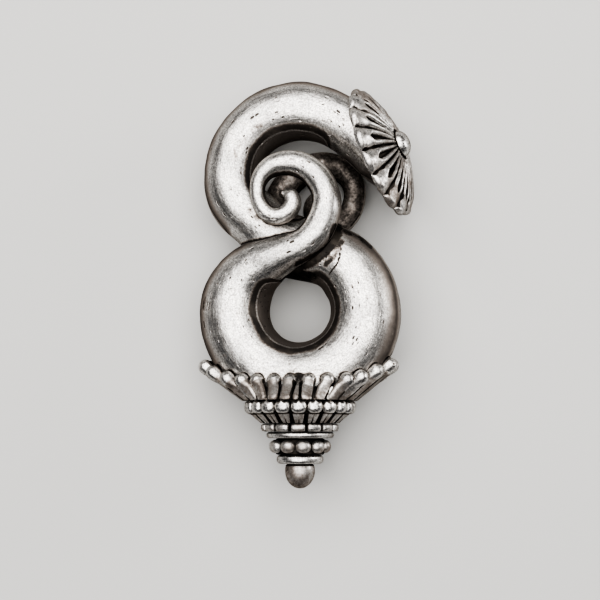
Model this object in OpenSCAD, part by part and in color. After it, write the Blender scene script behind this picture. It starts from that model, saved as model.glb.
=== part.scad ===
// Ear weight: a cast coil of round silver bar with a flower at the end of its hook
// and a stepped, beaded base under its ring. Millimetres.
// Each piece is drawn upright, with the ring's centre at the origin, the ring in the XZ plane
// and the front towards -Y. lay_down() then puts the whole weight on its back on z = 0.

/* [Ring] */
// Distance from the ring's centre to the middle of its bar
ring_reach = 9.05; // [8.5:0.05:10]
// Radius of the bar at the bottom of the ring, where it is thickest
ring_bar = 4.8; // [4:0.05:5]
// Play between the ring and the pieces of the base that it sits in
seat_gap = 0.06; // [0.04:0.01:0.2]

/* [Hook] */
// Centre of the hook, across and up from the ring's centre
hook_at = [-0.27, 17.95]; // [-2:0.01:20]
// Distance from the hook's centre to the middle of its bar, over the top
hook_reach = 9; // [8.5:0.05:9.5]
// Radius of the hook's bar over the top
hook_bar = 3.84; // [3.4:0.02:4]

/* [Scrolls] */
// How far in front of the ring's plane the front scroll lies
scroll_depth = 4.46; // [4:0.02:4.8]
// Size of the back scroll against the front one
back_growth = 1.18; // [1:0.01:1.25]
// How much higher the back strand runs than the front one
back_lift = 1; // [0:0.05:1.2]
// Centre of the front scroll, across and up
front_scroll_at = [-1.02, 15.57]; // [-4:0.01:18]
// Centre of the back scroll, across and up
back_scroll_at = [2.28, 16.46]; // [-4:0.01:18]

/* [Flower] */
// Distance across the flower cap
flower_d = 17.8; // [16:0.1:20]
// Centre of the flower's flat back, across and up
flower_at = [10.58, 20.66]; // [8:0.01:23]
// How far the flower's face looks up
flower_pitch = 18.3; // [15:0.1:25]
// How far the flower's face turns to the front
flower_turn = 13; // [0:0.5:18]
// Number of petals in the flower
flower_petals = 16; // [8:1:20]
// Height of the flower under its stud
flower_rise = 2.3; // [1.5:0.1:3.5]
// Thickness of the flower cap at its edge
flower_edge = 0.8; // [0.4:0.05:1]
// Radius of the stud at the flower's heart
stud_r = 1.75; // [1.2:0.05:2.2]
// Height of the stud's dome
stud_rise = 1.4; // [0.8:0.05:1.6]

/* [Base] */
// Number of petals round the cup
cup_petals = 28; // [20:2:32]
// Radius of the round head of a cup petal
cup_head = 1; // [0.8:0.05:1.1]
// Radius of the cup where it stands on the fluted tier
cup_foot_r = 7.6; // [7:0.1:7.8]
// Number of beads and flutes on the fluted tier
tier_beads = 20; // [16:1:24]
// Radius of the circle that the tier's beads stand on
tier_r = 6.65; // [6:0.05:7]
// Radius of one bead of the tier
tier_bead = 0.88; // [0.7:0.02:0.95]
// Number of blocks in the band under the tier
blocks = 14; // [10:1:18]
// Turn of the block band against the front
block_turn = 7.4; // [0:0.1:25]
// Outer radius of the block band
block_r = 5.27; // [4.8:0.01:5.6]
// Outer radius of the upper collar
upper_collar_r = 4.55; // [4:0.05:4.8]
// Number of beads in the bead band
band_beads = 10; // [8:1:12]
// Radius of one bead of the band
band_bead = 0.88; // [0.7:0.02:0.95]
// Outer radius of the bead band
band_r = 4.23; // [3.9:0.01:4.5]
// Outer radius of the lower collar
lower_collar_r = 3.15; // [2.8:0.05:3.4]
// Radius of the ball at the tip
tip_r = 2.03; // [1.6:0.01:2.4]
// Gap between one piece of the base and the next
gap = 0.05; // [0.03:0.01:0.1]

/* [Resting place] */
// Turn about the long axis that puts the flower's edge and the back scroll on the ground
roll = -7.839; // [-12:0.001:12]
// Tip of the hook's end against the base
pitch = -1.307; // [-5:0.001:5]
// What brings the middle of the weight's box to the origin and its lowest point to z = 0
rest_shift = [-0.78, -3.402, 7.344]; // [-10:0.001:10]

/* [Hidden] */

silver = [0.74, 0.73, 0.7];
dark_silver = [0.52, 0.5, 0.46];
// Corners round the coil's bar, and the turns at which a bar's round end is cut
sides = 22;
cap_turns = [85, 62, 40, 20];
// Corners round the turned pieces, and round a bead
round_sides = 80;
bead_sides = 24;
// How far a cutter runs past what it cuts
past = 1;

// Levels of the base under the ring's centre
cup_foot = -12.12;
tier_top = cup_foot - gap;
tier_foot = -15.15;
block_top = tier_foot - gap;
block_foot = -16.27;
upper_collar_top = block_foot - gap;
upper_collar_foot = -17.15;
band_top = upper_collar_foot - gap;
band_foot = -19.37;
lower_collar_top = band_foot - gap;
lower_collar_foot = -20.6;
tip_top = lower_collar_foot - gap;
tip_foot = -23.96;
tip_wide = -21.6;
tip_neck_r = 1.7;

// The hidden pin and its bores, and the stud's post
pin_r = 0.8;
pin_top = -(ring_reach + ring_bar + seat_gap);
bore_r = pin_r + gap;
post_r = 0.6;

// Cup petals: height of a front head, rise to the side heads and how late that rise comes
cup_front = -9.5;
cup_saddle = 2.4;
cup_late = 6;
// How far a head's middle stands off the ring's bar in front, and how much more at the sides
cup_hug = 0.2;
cup_splay = 0.35;
// How many degrees the petals crowd towards the sides, and how far the rim sits off the axis
cup_crowd = 7.5;
cup_shift = -0.3;
// Radius of a petal's toe, and of the cup's wall where it ends inside a head
cup_toe = 0.62;
cup_wall = 0.5;
// How far the wall's foot lies inside the petals, and how thick it starts
cup_inset = 0.3;
cup_floor = 0.1;

// Fluted tier: its core, the wall that the flutes are cut in, a flute, and the slope over the wall
tier_core_r = 6.2;
flute_top = -13.95;
flute_top_r = 6.65;
flute_foot_r = 5.4;
flute_r = 0.3;
tier_slope = 0.3;
flute_lean = atan((flute_top_r - flute_foot_r) / (flute_top - tier_foot));

// Blocks: the share of the band that they fill, how deep they are and their rounded corners
block_share = 0.8;
block_deep = 1.2;
block_round = 0.3;
// How far the band behind the blocks is set back, and how much lower it is above and below
block_back = 0.6;
block_step = 0.08;

// Rounded edges of the collars, and how far the beads stand off their band, in bead radii
upper_collar_round = 0.4;
lower_collar_round = 0.5;
band_round = 0.2;
band_behind = 1.1;

// How far each petal of the flower swells, which share of that lies above the cone, and how deep
// the edge is scalloped, as a share of its radius
flower_lobe = 0.5;
flower_valley = 0.6;
flower_scallop = 0.06;
// Steps of the flower's skin for each petal, and from its heart to its edge
petal_steps = 6;
share_steps = 8;
// Height of the stud's straight edge
stud_edge = 0.2;

// Turn at which the ball meets its neck
tip_turn = -20;

// The back scroll's bar: what is added to a share of the front one's radius, and the most it may
// be thicker near its tip
back_bar_add = 0.9;
back_bar_share = 0.6;
back_bar_most = 2;

// One row for each station along the front scroll, from its tip outwards
// across and up from the scroll's centre, radius of the bar
SCROLL = [
    [-0.36, -0.70, 0.55],
    [0.11, -0.71, 0.85],
    [0.68, -1.02, 1.07],
    [0.86, -2.00, 1.18],
    [0.18, -3.05, 1.19],
    [-1.16, -3.53, 1.17],
    [-2.06, -3.36, 1.16],
    [-2.84, -2.82, 1.12],
    [-3.58, -1.67, 1.05],
    [-3.87, -0.21, 1.00],
    [-3.74, 1.04, 1.06],
    [-3.20, 2.03, 1.22],
    [-2.17, 2.95, 1.42],
    [-0.02, 3.42, 1.62],
    [2.38, 2.85, 1.70],
    [3.77, 1.72, 1.78],
    [4.76, 0.38, 1.83],
    [5.49, -1.59, 1.87]
];

// One row for each station of a strand, from its scroll down to the ring
// turn round the ring's centre, reach from it, radius of the bar, depth as a share of the scroll's
STRAND = [
    [71.5, 12.48, 2.05, 1],
    [73.4, 9.98, 2.12, 0.987],
    [79, 8.57, 2.14, 0.964],
    [89, 7.83, 2.20, 0.919],
    [99.5, 7.45, 2.45, 0.83],
    [111, 7.30, 2.82, 0.695],
    [123, 7.52, 3.30, 0.516],
    [137, 8.04, 3.86, 0.314],
    [151.4, 8.54, 4.36, 0.123]
];

// One row for each station of the main bar round the ring and up to the hook
// turn round the ring's centre, reach from it, radius of the bar
RING = [
    [167, ring_reach - 0.08, ring_bar - 0.1],
    [185, ring_reach, ring_bar],
    [210, ring_reach, ring_bar],
    [240, ring_reach, ring_bar],
    [270, ring_reach, ring_bar],
    [300, ring_reach, ring_bar],
    [330, ring_reach, ring_bar],
    [355, ring_reach - 0.1, ring_bar - 0.08],
    [380, ring_reach - 0.3, ring_bar - 0.26],
    [402, ring_reach - 0.45, ring_bar - 0.42],
    [421, ring_reach - 0.65, ring_bar - 0.66]
];

// One row for each station of the hook, from the crossing to the last full round of the bar
// turn back round the hook's centre, reach from it, radius of the bar, slant of the section
HOOK = [
    [275.5, 9.72, 4.20, 0],
    [252, 8.80, 4.22, 0],
    [227, 7.78, 3.90, 0],
    [208, 8.60, 3.88, 0],
    [193, 9.02, hook_bar + 0.02, 0],
    [167, hook_reach + 0.17, hook_bar + 0.02, 0],
    [137, hook_reach + 0.2, hook_bar, 0],
    [110, hook_reach + 0.07, hook_bar, 0],
    [86, hook_reach, hook_bar, 0],
    [69, 9.03, 3.69, 0],
    [56, 9.18, 3.56, 5],
    [46, 9.30, 3.50, 20],
    [36.5, 9.56, 3.46, 37],
    [29.7, 9.9, 3.7, 49.5]
];

// Where the bar's slanted end meets the flower: distance up the flower's back, half length, half width
HOOK_END = [0.55, 6.8, 3.42];

function unit(v) = v / norm(v);

function polar(turn, reach) = [reach * cos(turn), reach * sin(turn)];

// Curve through the rows of a table, with every column carried along; long steps get more points
function curve(rows) = [
    for (i = [0 : len(rows) - 2])
        let (
            a = rows[max(i - 1, 0)],
            b = rows[i],
            c = rows[i + 1],
            d = rows[min(i + 2, len(rows) - 1)],
            far = norm([c[0] - b[0], c[1] - b[1], c[2] - b[2]]),
            steps = max(2, ceil(1.5 * sqrt(far)))
        )
        for (k = [0 : steps - 1])
            let (t = k / steps)
            (2 * b + (c - a) * t + (2 * a - 5 * b + 4 * c - d) * t * t
                + (3 * b - a - 3 * c + d) * t * t * t) / 2,
    rows[len(rows) - 1]
];

// Sections of a bar along stations of [x, y, z, radius, slant]: centre and its two half axes
function sections(way) = [
    for (i = [0 : len(way) - 1])
        let (
            p = way[i],
            q = way[max(i - 1, 0)],
            s = way[min(i + 1, len(way) - 1)],
            along = unit([s[0] - q[0], s[1] - q[1], s[2] - q[2]]),
            side = unit(cross([0, 1, 0], along)),
            through = cross(along, side),
            slant = p[4]
        )
        [
            [p[0], p[1], p[2]],
            (side * cos(slant) + along * sin(slant)) * p[3] / cos(slant),
            through * p[3]
        ]
];

// A round end before the first section
function round_end(first, second) =
    let (back = unit(first[0] - second[0]), r = norm(first[2]))
    [for (t = cap_turns) [first[0] + back * r * sin(t), first[1] * cos(t), first[2] * cos(t)]];

// A closed skin over the sections
module skin(rows) {
    last = len(rows) - 1;
    points = [for (row = rows, k = [0 : sides - 1])
        row[0] + row[1] * cos(360 * k / sides) + row[2] * sin(360 * k / sides)];
    walls = [for (i = [0 : last - 1], k = [0 : sides - 1])
        let (j = (k + 1) % sides, a = i * sides, b = a + sides)
        each [[a + k, b + j, a + j], [a + k, b + k, b + j]]];
    start = [[for (k = [0 : sides - 1]) k]];
    end = [[for (k = [sides - 1 : -1 : 0]) last * sides + k]];
    polyhedron(points = points, faces = concat(start, walls, end), convexity = 10);
}

front_scroll = [for (s = SCROLL)
    [front_scroll_at[0] + s[0], -scroll_depth, front_scroll_at[1] + s[1], s[2], 0]];

back_scroll = [for (s = SCROLL)
    [back_scroll_at[0] - back_growth * s[0], scroll_depth,
        back_scroll_at[1] + back_growth * s[1],
        min(back_bar_most * s[2], back_bar_add + back_bar_share * s[2]), 0]];

front_strand = [for (s = STRAND)
    let (p = polar(s[0], s[1])) [p[0], -s[3] * scroll_depth, p[1], s[2], 0]];

back_strand = [for (s = STRAND)
    let (p = polar(s[0], s[1])) [-p[0], s[3] * scroll_depth, p[1] + back_lift * s[3], s[2], 0]];

function ring_part(from, to) = [for (s = RING) if (s[0] >= from && s[0] <= to)
    let (p = polar(s[0], s[1])) [p[0], 0, p[1], s[2], 0]];

left_lobe = ring_part(0, 270);
right_lobe = ring_part(270, 450);

hook_way = [for (s = HOOK)
    let (p = polar(s[0], s[1])) [hook_at[0] + p[0], 0, hook_at[1] + p[1], s[2], s[3]]];

// The flower's own directions: out of its face, up its back and across it
flower_out = [
    cos(flower_pitch) * cos(flower_turn),
    -cos(flower_pitch) * sin(flower_turn),
    sin(flower_pitch)
];
flower_across = [sin(flower_turn), cos(flower_turn), 0];
flower_up = cross(flower_out, flower_across);
flower_centre = [flower_at[0], 0, flower_at[1]];

hook_face = [
    flower_centre + flower_up * HOOK_END[0] - flower_out * gap,
    -flower_up * HOOK_END[1],
    flower_across * HOOK_END[2]
];

module lay_down() {
    translate(rest_shift) rotate([pitch, 0, 0]) rotate([0, roll, 0]) rotate([-90, 0, 0]) children();
}

module front_bar() {
    rows = sections(curve(concat(front_scroll, front_strand, left_lobe)));
    skin(concat(round_end(rows[0], rows[1]), rows));
}

module hook_bar_body() {
    rows = sections(curve(concat(right_lobe, hook_way)));
    skin(concat(rows, [hook_face]));
}

module back_bar() {
    rows = sections(curve(concat(back_scroll, back_strand)));
    skin(concat(round_end(rows[0], rows[1]), rows));
}

module coil() {
    color(silver) lay_down() {
        front_bar();
        hook_bar_body();
        back_bar();
    }
}

// The room that the ring takes out of the base
module ring_seat() {
    rotate([90, 0, 0]) rotate_extrude($fn = 72) translate([ring_reach, 0])
        circle(r = ring_bar + seat_gap, $fn = 40);
}

// Puts a shape drawn on the XY plane, face up, on the flower's back
module on_hook_end() {
    multmatrix([for (i = [0 : 2]) [flower_across[i], flower_up[i], flower_out[i], flower_centre[i]]])
        children();
}

// Radius of the scalloped edge, and the height of the cap's face, at a turn and a share of that radius
function flower_r(turn) = flower_d / 2
    * (1 - flower_scallop * (1 - abs(cos(turn * flower_petals / 2))));

function flower_z(turn, share) =
    let (lobe = abs(cos(turn * flower_petals / 2)), heart = 2 * stud_r / flower_d)
    share <= heart ? flower_edge + flower_rise
        : flower_edge + flower_rise * (1 - (share - heart) / (1 - heart))
            + flower_lobe * (lobe - flower_valley) * sin(180 * (share - heart) / (1 - heart));

module flower_cap() {
    turns = petal_steps * flower_petals;
    shares = [for (i = [1 : share_steps]) i / share_steps];
    rings = concat([for (share = shares) [share, true]], [[1, false]]);
    points = concat(
        [[0, 0, flower_edge + flower_rise]],
        [for (ring = rings, k = [0 : turns - 1])
            let (turn = 360 * k / turns, reach = ring[0] * flower_r(turn))
            [reach * cos(turn), reach * sin(turn), ring[1] ? flower_z(turn, ring[0]) : 0]],
        [[0, 0, 0]]
    );
    last = len(points) - 1;
    face = [for (k = [0 : turns - 1]) [0, 1 + (k + 1) % turns, 1 + k]];
    slopes = [for (i = [0 : len(rings) - 2], k = [0 : turns - 1])
        let (j = (k + 1) % turns, a = 1 + i * turns, b = a + turns)
        each [[a + k, a + j, b + j], [a + k, b + j, b + k]]];
    back = [for (k = [0 : turns - 1])
        let (a = last - turns) [last, a + k, a + (k + 1) % turns]];
    color(silver) lay_down() on_hook_end() difference() {
        polyhedron(points = points, faces = concat(face, slopes, back), convexity = 6);
        translate([0, 0, -past])
            cylinder(r = post_r + gap, h = flower_edge + flower_rise + 2 * past, $fn = 32);
    }
}

// A dome on a post that goes through the cap
module flower_stud() {
    foot = flower_edge + flower_rise + gap;
    dome = [for (t = [0 : 9 : 90]) [stud_r * cos(t), foot + stud_edge + (stud_rise - stud_edge) * sin(t)]];
    color(silver) lay_down() on_hook_end() rotate_extrude($fn = 48)
        polygon(concat([[0, 0], [post_r, 0], [post_r, foot], [stud_r, foot]], dome));
}

// Middle of a cup petal's head, which follows the ring's bar from its low front up to its sides
function head_at(turn) =
    let (
        t = turn - cup_crowd * sin(2 * turn),
        z = cup_front + cup_saddle * pow(sin(t), cup_late),
        hug = ring_bar + cup_hug + cup_splay * pow(sin(t), 2),
        x = sqrt(pow(ring_reach + hug, 2) - z * z) * sin(t),
        y = sqrt(max(0, hug * hug - pow(norm([x, z]) - ring_reach, 2)))
    )
    [cup_shift + x, cos(t) > 0 ? -y : y, z];

function foot_at(turn) = [
    cup_shift / 2 + (cup_foot_r - cup_toe) * sin(turn),
    -(cup_foot_r - cup_toe) * cos(turn),
    cup_foot + cup_toe
];

module petal_cup() {
    turns = [for (i = [0 : cup_petals - 1]) 360 * (i + 0.5) / cup_petals];
    color(dark_silver) lay_down() difference() {
        union() {
            hull() {
                translate([0, 0, cup_foot]) cylinder(r = cup_foot_r - cup_inset, h = cup_floor, $fn = 56);
                for (t = turns) translate(head_at(t) - [0, 0, cup_head]) sphere(r = cup_wall, $fn = 8);
            }
            for (t = turns) hull() {
                translate(head_at(t)) sphere(r = cup_head, $fn = 12);
                translate(foot_at(t)) sphere(r = cup_toe, $fn = 10);
            }
        }
        ring_seat();
        translate([0, 0, cup_foot - 2 * past]) cylinder(r = cup_foot_r + past, h = 2 * past);
    }
}

// Outline of a bar's section with rounded corners, from its inner lower corner
function soft_box(r1, z1, r2, z2, c) = [
    [r1, z1],
    for (t = [-90 : 30 : 0]) [r2 - c + c * cos(t), z1 + c + c * sin(t)],
    for (t = [0 : 30 : 90]) [r2 - c + c * cos(t), z2 - c + c * sin(t)],
    [r1, z2]
];

module fluted_tier() {
    color(dark_silver) lay_down() difference() {
        union() {
            rotate_extrude($fn = round_sides) polygon([
                [bore_r, tier_foot], [flute_foot_r, tier_foot], [flute_top_r, flute_top],
                [tier_core_r, flute_top + tier_slope], [tier_core_r, tier_top], [bore_r, tier_top]
            ]);
            for (i = [0 : tier_beads - 1]) rotate([0, 0, 360 * (i + 0.5) / tier_beads - 90])
                translate([tier_r, 0, tier_top - tier_bead]) sphere(r = tier_bead, $fn = bead_sides);
        }
        for (i = [0 : tier_beads - 1]) rotate([0, 0, 360 * i / tier_beads - 90])
            translate([flute_foot_r, 0, tier_foot]) rotate([0, flute_lean, 0])
                translate([0, 0, -past])
                    cylinder(r = flute_r, h = flute_top - tier_foot + 3 * past, $fn = 16);
        ring_seat();
    }
}

module block_band() {
    width = block_share * 360 / blocks;
    color(dark_silver) lay_down() {
        rotate_extrude($fn = round_sides) polygon([
            [bore_r, block_foot + block_step], [block_r - block_back, block_foot + block_step],
            [block_r - block_back, block_top - block_step], [bore_r, block_top - block_step]
        ]);
        for (i = [0 : blocks - 1]) rotate([0, 0, 360 * i / blocks + block_turn - 90 - width / 2])
            rotate_extrude(angle = width, $fn = round_sides) polygon(
                soft_box(block_r - block_deep, block_foot, block_r, block_top, block_round));
    }
}

module collar(foot, top, r, c) {
    rotate_extrude($fn = round_sides) polygon(soft_box(bore_r, foot, r, top, c));
}

module upper_collar() {
    color(silver) lay_down()
        collar(upper_collar_foot, upper_collar_top, upper_collar_r, upper_collar_round);
}

module bead_band() {
    middle = (band_top + band_foot) / 2;
    color(silver) lay_down() {
        collar(band_foot, band_top, band_r - band_behind * band_bead, band_round);
        for (i = [0 : band_beads - 1]) rotate([0, 0, 360 * (i + 0.5) / band_beads - 90])
            translate([band_r - band_bead, 0, middle]) sphere(r = band_bead, $fn = bead_sides);
    }
}

module lower_collar() {
    color(silver) lay_down()
        collar(lower_collar_foot, lower_collar_top, lower_collar_r, lower_collar_round);
}

// The ball and the pin that the base is threaded on, up to the ring
module ball_tip() {
    ball = [for (t = [tip_turn : 10 : 90]) [tip_r * cos(t), tip_wide - (tip_wide - tip_foot) * sin(t)]];
    color(silver) lay_down() rotate_extrude($fn = 48) polygon(concat(
        [[0, pin_top], [pin_r, pin_top], [pin_r, tip_top], [tip_neck_r, tip_top]],
        ball
    ));
}

coil();
flower_cap();
flower_stud();
petal_cup();
fluted_tier();
block_band();
upper_collar();
bead_band();
lower_collar();
ball_tip();
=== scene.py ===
"""Ear weight: a cast coil of round silver bar with a flower on its hook and a beaded, stepped base.

Every shape is worked out upright in millimetres, with the ring's centre at the origin, the ring in
the XZ plane and the front towards -Y, and then laid on its back in the row's frame, in metres.
"""
import math

import bmesh
import bpy
import numpy as np
from mathutils import Matrix, Vector


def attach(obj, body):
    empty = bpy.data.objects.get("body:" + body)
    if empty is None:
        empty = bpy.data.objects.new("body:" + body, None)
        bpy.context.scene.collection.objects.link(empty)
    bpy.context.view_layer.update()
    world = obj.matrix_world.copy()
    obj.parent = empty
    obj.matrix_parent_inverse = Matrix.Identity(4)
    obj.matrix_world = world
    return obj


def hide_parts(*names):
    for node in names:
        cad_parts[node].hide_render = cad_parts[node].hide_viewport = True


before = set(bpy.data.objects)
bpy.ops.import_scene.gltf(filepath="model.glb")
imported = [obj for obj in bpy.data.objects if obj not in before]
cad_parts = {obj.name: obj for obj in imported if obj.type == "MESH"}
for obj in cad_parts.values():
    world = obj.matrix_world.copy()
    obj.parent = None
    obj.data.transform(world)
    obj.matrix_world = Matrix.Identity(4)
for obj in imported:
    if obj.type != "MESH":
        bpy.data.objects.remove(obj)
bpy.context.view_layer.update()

MM = 0.001

# How the weight lies: turned about its long axis, tipped, and moved onto the ground
ROLL = math.radians(-7.839)
PITCH = math.radians(-1.307)
REST_SHIFT = np.array([-0.78, -3.402, 7.344])

# Ring and hook: reach of the bar's middle from each centre, radius of the bar, and the hook's centre
RING_REACH = 9.05
RING_BAR = 4.8
HOOK_AT = np.array([-0.27, 17.95])
HOOK_REACH = 9.0
HOOK_BAR = 3.84

# Scrolls: centres, distance from the middle plane, growth of the back one, and lift of its strand
FRONT_SCROLL_AT = np.array([-1.02, 15.57])
BACK_SCROLL_AT = np.array([2.28, 16.46])
SCROLL_DEPTH = 4.46
BACK_GROWTH = 1.18
BACK_LIFT = 1.0

# The bar's grid: points round it, distance between its sections, stations that make a scroll's tip, and
# turns of the sections in the half-ball at an end
SIDES = 88
STATION = 0.25
TIP_STATIONS = 5
DOME_TURNS = np.radians([88, 78, 66, 54, 42, 31, 21, 12, 5])

# Blur along the bar near the scroll's tip and far from it, and where the one goes over into the other
SOFTENING = 0.7
WIDE_SOFTENING = 1.6
WIDENING = (7.0, 14.0)

# The fillet where bars meet. Two places of one bar count as meeting only when they are this far apart
# along it, and every fourth section is near enough for that.
FILLET = 0.45
APART = 22.0
COARSE = slice(None, None, 4)

# Radius up to which a bar is even, and from which it is fully uneven
THIN_BAR = 0.3
THICK_BAR = 2.5

# Points measured at once, a distance beyond any on the weight, and the place along it where the back bar
# is said to start, so that nothing on it counts as close along the bar to the main one
AT_ONCE = 3000
FAR = 1e3
BACK_STARTS = 1e4

# Joined meshes: the angle of an edge that stays sharp, and the fewest vertices of a shell that is kept
CREASE = math.radians(50)
SLIVER = 20

# Flower: radius, middle of its flat back, how far it faces up and to the front, height of its edge, and
# rise and power of its dome
FLOWER_R = 8.9
FLOWER_AT = np.array([10.58, 0.0, 20.66])
FLOWER_PITCH = math.radians(18.3)
FLOWER_TURN = math.radians(13.0)
FLOWER_EDGE = 0.8
FLOWER_RISE = 2.3
FLOWER_DOME = 1.7

# Where the flower's lip starts and how deep its scallops are, as shares of its radius, its petals, and
# its grid: points across each petal, and rows of the heart, the face and the lip
FLOWER_LIP = 0.965
FLOWER_SCALLOP = 0.06
PETALS = 16
PETAL_POINTS = 36
HEART_ROWS = 6
FACE_ROWS = 84
LIP_ROWS = 9

# Stud: radius, height, height of its edge, radius of its post, and rows and points of its grid
STUD_R = 1.75
STUD_RISE = 1.4
STUD_EDGE = 0.2
POST_R = 0.6
STUD_ROWS = 22
STUD_POINTS = 96

# Gap between the base's pieces, and round the ring's bar where it sits in them
GAP = 0.05
SEAT_GAP = 0.06

# Levels of the base's pieces under the ring's centre, and of the ball where it is widest
CUP_FOOT = -12.12
TIER_FOOT = -15.15
BLOCK_FOOT = -16.27
UPPER_COLLAR_FOOT = -17.15
BAND_FOOT = -19.37
LOWER_COLLAR_FOOT = -20.6
TIP_WIDE = -21.6
TIP_FOOT = -23.96

# Cup: its petals, radius of their heads and toes, how far the toes go under its foot before they are
# trimmed, radius of the foot, and where along X the heads' middle is, with the toes' middle at half that
CUP_PETALS = 28
CUP_HEAD = 1.0
CUP_TOE = 0.62
CUP_TRIM = 0.4
CUP_FOOT_R = 7.6
CUP_SHIFT = -0.3

# The curve of the cup's heads: level in front, rise to the sides and how late it comes, distance from
# the ring's bar in front and what the sides add to it, and how the petals crowd together in front
CUP_FRONT = -9.5
CUP_SADDLE = 2.4
CUP_LATE = 6
CUP_HUG = 0.2
CUP_SPLAY = 0.35
CUP_CROWD = math.radians(7.5)

# Wall behind the petals: how far in from the cup's foot, how far out under the heads, and its grid
CUP_INSET = 0.3
CUP_WALL = 0.5
WALL_ROWS = 9
WALL_POINTS = 224

# Petals of the cup: half width of toes and heads as a share of the room for them, the widest half toe,
# and the place, half width and depth of the neck
TOE_FILL = 0.5
HEAD_FILL = 0.55
WIDEST_TOE = 0.74
PETAL_NECK = (0.74, 0.13, 0.14)

# Thickness of the shafts as a share of the toe, share of a head's width from which it is as thick as it
# can be, and the power of the outline of shafts and heads
SHAFT_THIN = 0.86
FULL_HEAD = 0.85
SHAFT_POWER = 3.2
HEAD_POWER = 2.1

# Grid of a petal of the cup: rows of its toe, shaft and head, and points round it
PETAL_TOE_ROWS = 6
PETAL_SHAFT_ROWS = 15
PETAL_HEAD_ROWS = 9
PETAL_SIDES = 28

# Petals of the front that stand off their even places: how far aside, and their share of a full width
UNEVEN_PETALS = {26: (0.36, 1.0), 27: (0.7, 1.2), 0: (0.16, 0.3), 1: (-0.3, 1.16), 2: (0.24, 1.0),
                 3: (0.7, 1.0), 4: (0.3, 1.0)}

# Tier: its beads, the circle of their middles, radius of a bead and its half sizes out, across and up,
# the power of its outline, height and closeness of its teeth, and radius and slope of the core behind
TIER_BEADS = 20
TIER_R = 6.65
TIER_BEAD = 0.88
TIER_BEAD_SIZE = np.array([TIER_BEAD, 1.03, TIER_BEAD - 0.01])
TIER_BEAD_POWER = 2.5
TOOTH_HEIGHT = 0.1
TOOTH_CLOSENESS = 9
TIER_CORE_R = 6.2
TIER_SLOPE = 0.3

# Fluted cone under the beads: level and radius of its top, radius of its foot, half width and depth of
# the gaps between its ribs and of the groove in each, and its grid: longest step, and points round it
FLUTE_TOP = -13.95
FLUTE_TOP_R = 6.65
FLUTE_FOOT_R = 5.4
FLUTE_GAP = (0.22, 0.5)
FLUTE_SPLIT = (0.1, 0.11)
FLUTE_STEP = 0.11
FLUTE_POINTS = 640

# Blocks: their number and radius, turn of the first one, share of their room, depth of the gaps, how far
# their sides fall away from a crown, corner, and points round the band
BLOCKS = 14
BLOCK_R = 5.27
BLOCK_TURN = math.radians(7.4)
BLOCK_SHARE = 0.8
BLOCK_BACK = 0.6
BLOCK_CROWN = 0.16
BLOCK_PILLOW = 0.46
BLOCK_POINTS = 784

# Collars: radius and corner, and points round them and round the bead band's core
UPPER_COLLAR_R = 4.55
UPPER_COLLAR_ROUND = 0.4
LOWER_COLLAR_R = 3.15
LOWER_COLLAR_ROUND = 0.5
COLLAR_POINTS = 256

# Bead band: outer radius, beads, radius of a bead and its half sizes out, across and up, the power of its
# outline, how far behind the beads the core stands as a share of a bead, and the core's corner
BAND_R = 4.23
BAND_BEADS = 10
BAND_BEAD = 0.88
BAND_BEAD_SIZE = np.array([BAND_BEAD, 1.02, BAND_BEAD])
BAND_BEAD_POWER = 2.15
BAND_BEHIND = 1.1
BAND_ROUND = 0.2

# Ball: radius, the power that draws it to a point, and points round it; its neck, and the pin and bores
TIP_R = 2.03
TIP_SHARPNESS = 1.04
TIP_POINTS = 144
TIP_NECK_R = 1.7
PIN_R = 0.8
BORE_R = PIN_R + GAP

# Outlines of turned pieces: points of a round corner, and the longest step along the rest
CORNER_POINTS = 9
OUTLINE_STEP = 0.12

# Beads: rows and points of their grid. Ring's seat: points round the ring and round its bar. Drum that
# trims the cup: how much it is wider than the cup's foot, its depth and the points round it.
BEAD_ROWS = 25
BEAD_SIDES = 48
SEAT_TURNS = 240
SEAT_SIDES = 96
DRUM_WIDER = 1
DRUM_DEPTH = 2
DRUM_POINTS = 96

# Unevenness: how many waves it has, and each surface's seed, wave length and height. A turned piece's
# seed is found in turned().
WAVES = 16
BAR_SWELL = (3, 7.0, 0.035)
BAR_DENTS = (4, 2.6, 0.012)
BEAD_DENTS = (11, 1.6, 0.02)
CUP_DENTS = (21, 2.2, 0.03)
FLOWER_DENTS = (31, 1.7, 0.035)
TURNED_DENTS = (3.5, 0.02)

# Front scroll: across and up from its centre, radius of the bar
SCROLL = np.array([
    [-0.36, -0.70, 0.55], [0.11, -0.71, 0.85], [0.68, -1.02, 1.07], [0.86, -2.00, 1.18],
    [0.18, -3.05, 1.19], [-1.16, -3.53, 1.17], [-2.06, -3.36, 1.16], [-2.84, -2.82, 1.12],
    [-3.58, -1.67, 1.05], [-3.87, -0.21, 1.00], [-3.74, 1.04, 1.06], [-3.20, 2.03, 1.22],
    [-2.17, 2.95, 1.42], [-0.02, 3.42, 1.62], [2.38, 2.85, 1.70], [3.77, 1.72, 1.78],
    [4.76, 0.38, 1.83], [5.49, -1.59, 1.87]])

# Strand: turn round the ring's centre, reach from it, radius of the bar, depth as a share
STRAND = np.array([
    [71.5, 12.48, 2.05, 1], [73.4, 9.98, 2.12, 0.987], [79, 8.57, 2.14, 0.964],
    [89, 7.83, 2.20, 0.919], [99.5, 7.45, 2.45, 0.83], [111, 7.30, 2.82, 0.695],
    [123, 7.52, 3.30, 0.516], [137, 8.04, 3.86, 0.314], [151.4, 8.54, 4.36, 0.123]])

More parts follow.
